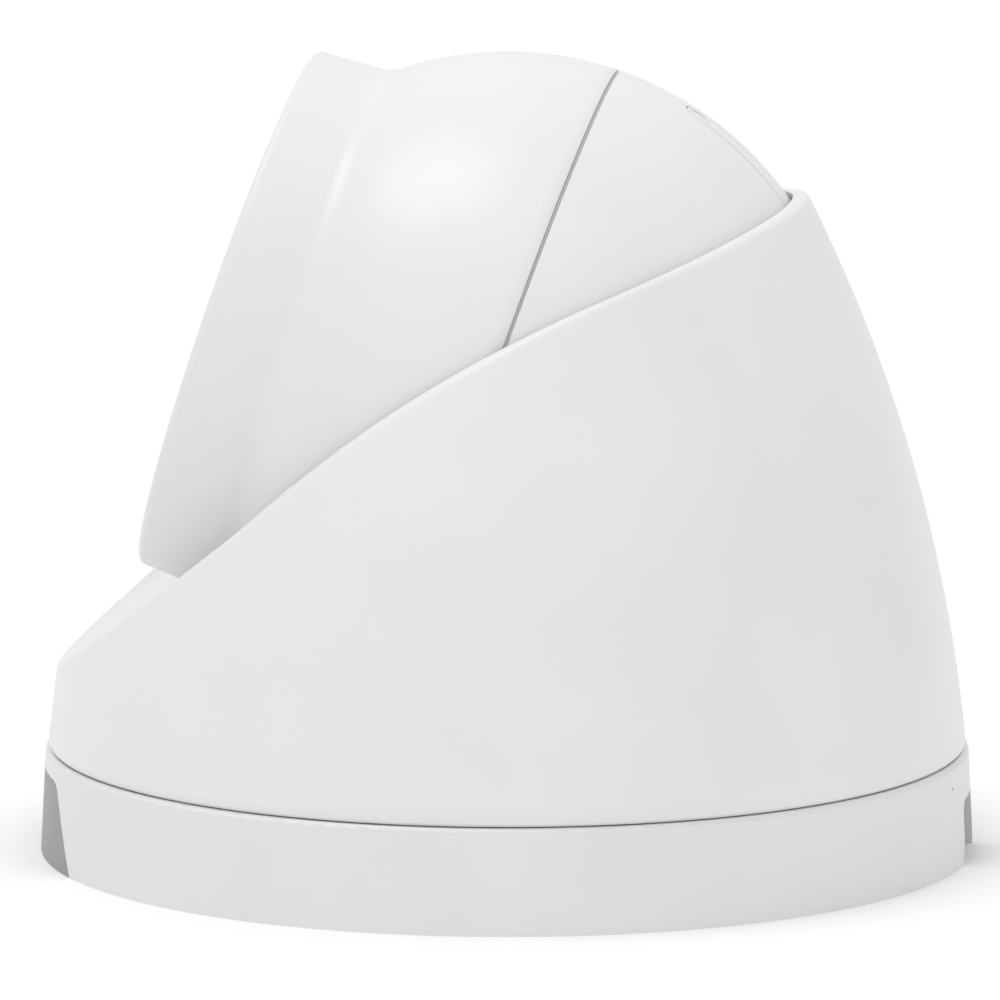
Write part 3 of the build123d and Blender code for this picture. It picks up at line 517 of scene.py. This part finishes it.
# ---- lens face -------------------------------------------------------------------------------------
def lens():
    """The barrel with its stepped, grooved front, a knurled focus band, and the domed first element."""
    low, high = LENS_HEAD_Z
    r = LENS_HEAD_R
    front = [(6.45, 31.4), (6.45, high - 0.5), (6.75, high - 0.35), (7.0, high - 0.5), (7.25, high - 0.2),
             (7.5, high - 0.35), (7.8, high - 0.05), (8.1, high), (r, high - 0.3), (r, high - 2)]
    waist = [(r - 0.35, high - 2.2), (r - 0.35, high - 3.2), (r, high - 3.4), (r, low + 0.2), (r - 0.2, low),
             (6.0, low), (6.0, 13.2), (5.8, 13.0), (4.0, 13.0), (4.0, 31.4)]
    barrel = turned(front + waist, 128)
    knurl = []
    for i in range(KNURL_RIDGES):
        a, b = 2 * pi * (i - 0.28) / KNURL_RIDGES, 2 * pi * (i + 0.28) / KNURL_RIDGES
        ridge = [(q * cos(t), q * sin(t), z) for z in (low + 1, low + 4.6)
                 for q, t in ((r - 0.3, a), (r - 0.01, a), (r - 0.01, b), (r - 0.3, b))]
        knurl.append((ridge, BOX_FACES))
    made = piece("lens_barrel_turned", *joined([barrel, *knurl]), "head", "black_metal", smooth=35)
    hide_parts("lens_barrel")
    crown, rim = ELEMENT_CROWN, ELEMENT_R
    sphere = (rim ** 2 + crown ** 2) / (2 * crown)
    dome = [(rim * i / 16, high - 0.05 - sphere + sqrt(sphere ** 2 - (rim * i / 16) ** 2)) for i in range(17)]
    dome += [(rim, 31.45), (0, 31.45)]
    made = piece("front_element_dome", *turned(dome, 96), "head", "lens_glass", smooth=40)
    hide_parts("front_element")


def lamps():
    """Each infrared lamp: an epoxy dome over a silver cup with its chip, and a bright reflector sleeve."""
    domes, cups, sleeves = [], [], []
    for side in (-1, 1):
        at = (side * LED_AT, 0)
        base = LED_Z + LAMP_BASE
        dome = [(0, LED_Z), (LED_R, LED_Z), (LED_R, base)]
        dome += [(LED_R * cos(t), base + LED_R * sin(t)) for t in [pi / 2 * i / 12 for i in range(1, 13)]]
        domes.append(turned(dome, 64, at))
        cup = [(0, 0.55), (0.6, 0.55), (1.5, 1.3), (1.65, 1.3), (0.75, 0.4), (0, 0.4)]
        cups.append(turned([(r, LED_Z + z) for r, z in cup], 40, at))
        cups.append(slab((side * LED_AT, 0, LED_Z + 0.56), (0.7, 0.7, 0.2), 0.04))
        sleeve = [(3.0, LED_Z + 0.05), (4.45, MASK_TOP - 1.5), (4.5, MASK_TOP - 0.2), (4.2, MASK_TOP - 0.05),
                  (4.05, MASK_TOP - 0.25), (4.0, MASK_TOP - 1.5), (2.8, LED_Z + 0.4), (2.8, LED_Z + 0.05)]
        sleeves.append(turned(sleeve, 64, at))
    made = piece("lamp_domes", *joined(domes), "head", "lamp_epoxy")
    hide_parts("ir_leds")
    piece("lamp_cups", *joined(cups), "head", "steel", smooth=30)
    piece("lamp_reflectors", *joined(sleeves), "head", "steel", smooth=40)


def spread_parts(seed, count, radius, keep_out, z, up):
    """Small parts on a round board, away from its holes and its larger parts, in a repeatable scatter."""
    small, pads = [], []
    placed = []
    value, span = seed, 2 ** 31
    while len(placed) < count:
        value = (value * 1103515245 + 12345) % span
        x = (value / span * 2 - 1) * radius
        value = (value * 1103515245 + 12345) % span
        y = (value / span * 2 - 1) * radius
        x, y = round(x * 2) / 2, round(y * 2) / 2
        if hypot(x, y) > radius or any(abs(x - a) < w and abs(y - b) < h for a, b, w, h in keep_out + placed):
            continue
        along_x = value % 3 > 0
        length, breadth, height = ((1.0, 0.5, 0.35), (1.6, 0.8, 0.5), (2.2, 1.6, 0.9))[value % 7 // 3]
        size = (length, breadth) if along_x else (breadth, length)
        placed.append((x, y, size[0] / 2 + 1.6, size[1] / 2 + 1.6))
        small.append(slab((x, y, z if up else z - height), (*size, height), 0.06))
        for end in (-1, 1):
            shift = (end * length / 2, 0) if along_x else (0, end * length / 2)
            pad = (0.35, size[1] + 0.15) if along_x else (size[0] + 0.15, 0.35)
            level = z if up else z - height * 0.7
            pads.append(slab((x + shift[0], y + shift[1], level), (*pad, height * 0.7), 0.05))
    return joined(small), joined(pads)


def board_parts():
    """Small parts and gold pads on the main board's back and on the lamp board's front."""
    posts = [(sx * 20, sy * 15, 4, 4) for sx in (-1, 1) for sy in (-1, 1)]
    behind = posts + [(-9, -10, 8, 5)]
    small, pads = spread_parts(7, 46, 25.5, behind + [(0, 30, 40, 13)], -8.0, False)
    piece("main_board_parts", *small, "head", "chip", CERAMIC, smooth=20)
    piece("main_board_pads", *pads, "head", "steel", GOLD, smooth=20)
    lens_room = [(0, 0, 11.5, 11.5), (17, 0, 5, 5), (-17, 0, 5, 5), (0, -17, 3.5, 3.5), (13, -16, 4, 4)]
    posts = [(POST_AT * cos(radians(a)), POST_AT * sin(radians(a)), 3.5, 3.5) for a in (90, 210, 330)]
    small, pads = spread_parts(21, 30, 25.0, lens_room + posts, LED_Z, True)
    piece("lamp_board_parts", *small, "head", "chip", CERAMIC, smooth=20)
    piece("lamp_board_pads", *pads, "head", "steel", GOLD, smooth=20)


def seam_seal():
    """The rubber between the two halves of the ball, a little below their surface."""
    half, out = HALF_SEAM - 0.005, BALL_R - SEAL_DEPTH
    ring = [(BALL_R - SHELL_WALL + 0.1, -half), (out - 0.1, -half), (out, -half / 2), (out, half / 2),
            (out - 0.1, half), (BALL_R - SHELL_WALL + 0.1, half)]
    made = piece("seam_seal", *turned(ring, 160), "head", "seal_rubber", SEAL)
    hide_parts("equator_seal")


def screw_plugs():
    """Soft plugs that close the access cover's screw holes, level with the ball."""
    plugs = []
    for side in (-1, 1):
        y = side * COVER_SCREW
        top = sqrt((BALL_R - PLUG_DEPTH) ** 2 - y * y)
        lean = y / top
        foot = 43.25
        plug = [(0, foot), (PLUG_R, foot), (PLUG_R, top - 0.1), (PLUG_R - 0.13, top), (0, top + 0.02)]
        points, faces = turned(plug, 40, (0, y))
        tilted = [(px, py, pz - (py - y) * lean if pz > foot + 0.05 else pz) for px, py, pz in points]
        plugs.append((tilted, faces))
    piece("screw_plugs", *joined(plugs), "head", "white_plastic", place=ACCESS, smooth=40)


def gland_ribs():
    """Grip ribs round the cable gland's end, inside the roll spigot's bore."""
    ribs = [turned([(3.0, z), (3.0, z + 0.5), (2.75, z + 0.25)], 48) for z in (-49.6, -48.6, -47.6)]
    piece("gland_ribs", *joined(ribs), "head", "seal_rubber", smooth=30)


def softened(width_mm, *names):
    """A small rounding on the edges of CAD nodes."""
    for name in names:
        bevel = NODES[name].modifiers.new("edges", "BEVEL")
        bevel.width = width_mm * MM
        bevel.segments = 2
        bevel.limit_method = "ANGLE"
        bevel.angle_limit = radians(50)


shroud()
front_shell()
lens()
lamps()
board_parts()
seam_seal()
screw_plugs()
gland_ribs()
softened(0.12, "processor", "board_connector", "cable_header", "filter_motor", "image_sensor", "card_socket")


# ---- stage -----------------------------------------------------------------------------------------
def stage():
    """A plain pale floor and the room round it."""
    bpy.ops.mesh.primitive_plane_add(size=FLOOR_SIZE)
    floor = bpy.context.object
    floor.name = "floor"
    floor.data.materials.append(material("floor_paint", (0.95, 0.95, 0.95), 0.8))
    sky()
    bpy.context.scene.view_settings.view_transform = "Standard"


def sky():
    """A white room, brighter overhead than at the horizon, and dimmer towards the camera's left and right."""
    world = bpy.data.worlds.new("studio")
    world.use_nodes = True
    tree = world.node_tree
    place = tree.nodes.new("ShaderNodeTexCoord")
    split = tree.nodes.new("ShaderNodeSeparateXYZ")
    tree.links.new(place.outputs["Generated"], split.inputs["Vector"])
    tint = toned(tree, split.outputs["Z"], (0.8, 0.8, 0.8), (1.02, 1.02, 1.02), (0.0, 1.0))
    tree.links.new(tint, tree.nodes["Background"].inputs["Color"])
    offset = add(tree, "ShaderNodeMath", operation="SUBTRACT")
    offset.inputs[1].default_value = 0.06
    side = add(tree, "ShaderNodeMath", operation="ABSOLUTE")
    dim = add(tree, "ShaderNodeMapRange", From_Min=0.25, From_Max=1.0, To_Min=1.03, To_Max=0.7)
    tree.links.new(split.outputs["Y"], offset.inputs[0])
    tree.links.new(offset.outputs[0], side.inputs[0])
    tree.links.new(side.outputs[0], dim.inputs["Value"])
    tree.links.new(dim.outputs["Result"], tree.nodes["Background"].inputs["Strength"])
    bpy.context.scene.world = world


def sun(name, towards, strength, spread):
    """A soft light from far away; towards is the direction from the camera to the light."""
    light = bpy.data.lights.new(name, "SUN")
    light.energy = strength
    light.angle = radians(spread)
    made = bpy.data.objects.new(name, light)
    bpy.context.scene.collection.objects.link(made)
    made.rotation_euler = Vector(towards).to_track_quat("Z", "Y").to_euler()


def camera():
    """The camera, level with the horizon and centred a little to the side of the base's axis."""
    azimuth, elevation, distance = radians(VIEW_AZIMUTH), radians(VIEW_ELEVATION), VIEW_DISTANCE
    right = Vector((cos(azimuth), sin(azimuth), 0))
    target = Vector((0, 0, VIEW_HEIGHT)) + VIEW_SIDE * right
    back = Vector((sin(azimuth) * cos(elevation), -cos(azimuth) * cos(elevation), sin(elevation)))
    data = bpy.data.cameras.new("camera")
    data.lens = VIEW_LENS
    data.sensor_width = 36
    data.clip_end = 20
    made = bpy.data.objects.new("camera", data)
    made.location = target + distance * back
    made.rotation_euler = (-back).to_track_quat("-Z", "Y").to_euler()
    bpy.context.scene.collection.objects.link(made)
    bpy.context.scene.camera = made


stage()
sun("key", KEY_TOWARDS, KEY_STRENGTH, KEY_SPREAD)
camera()
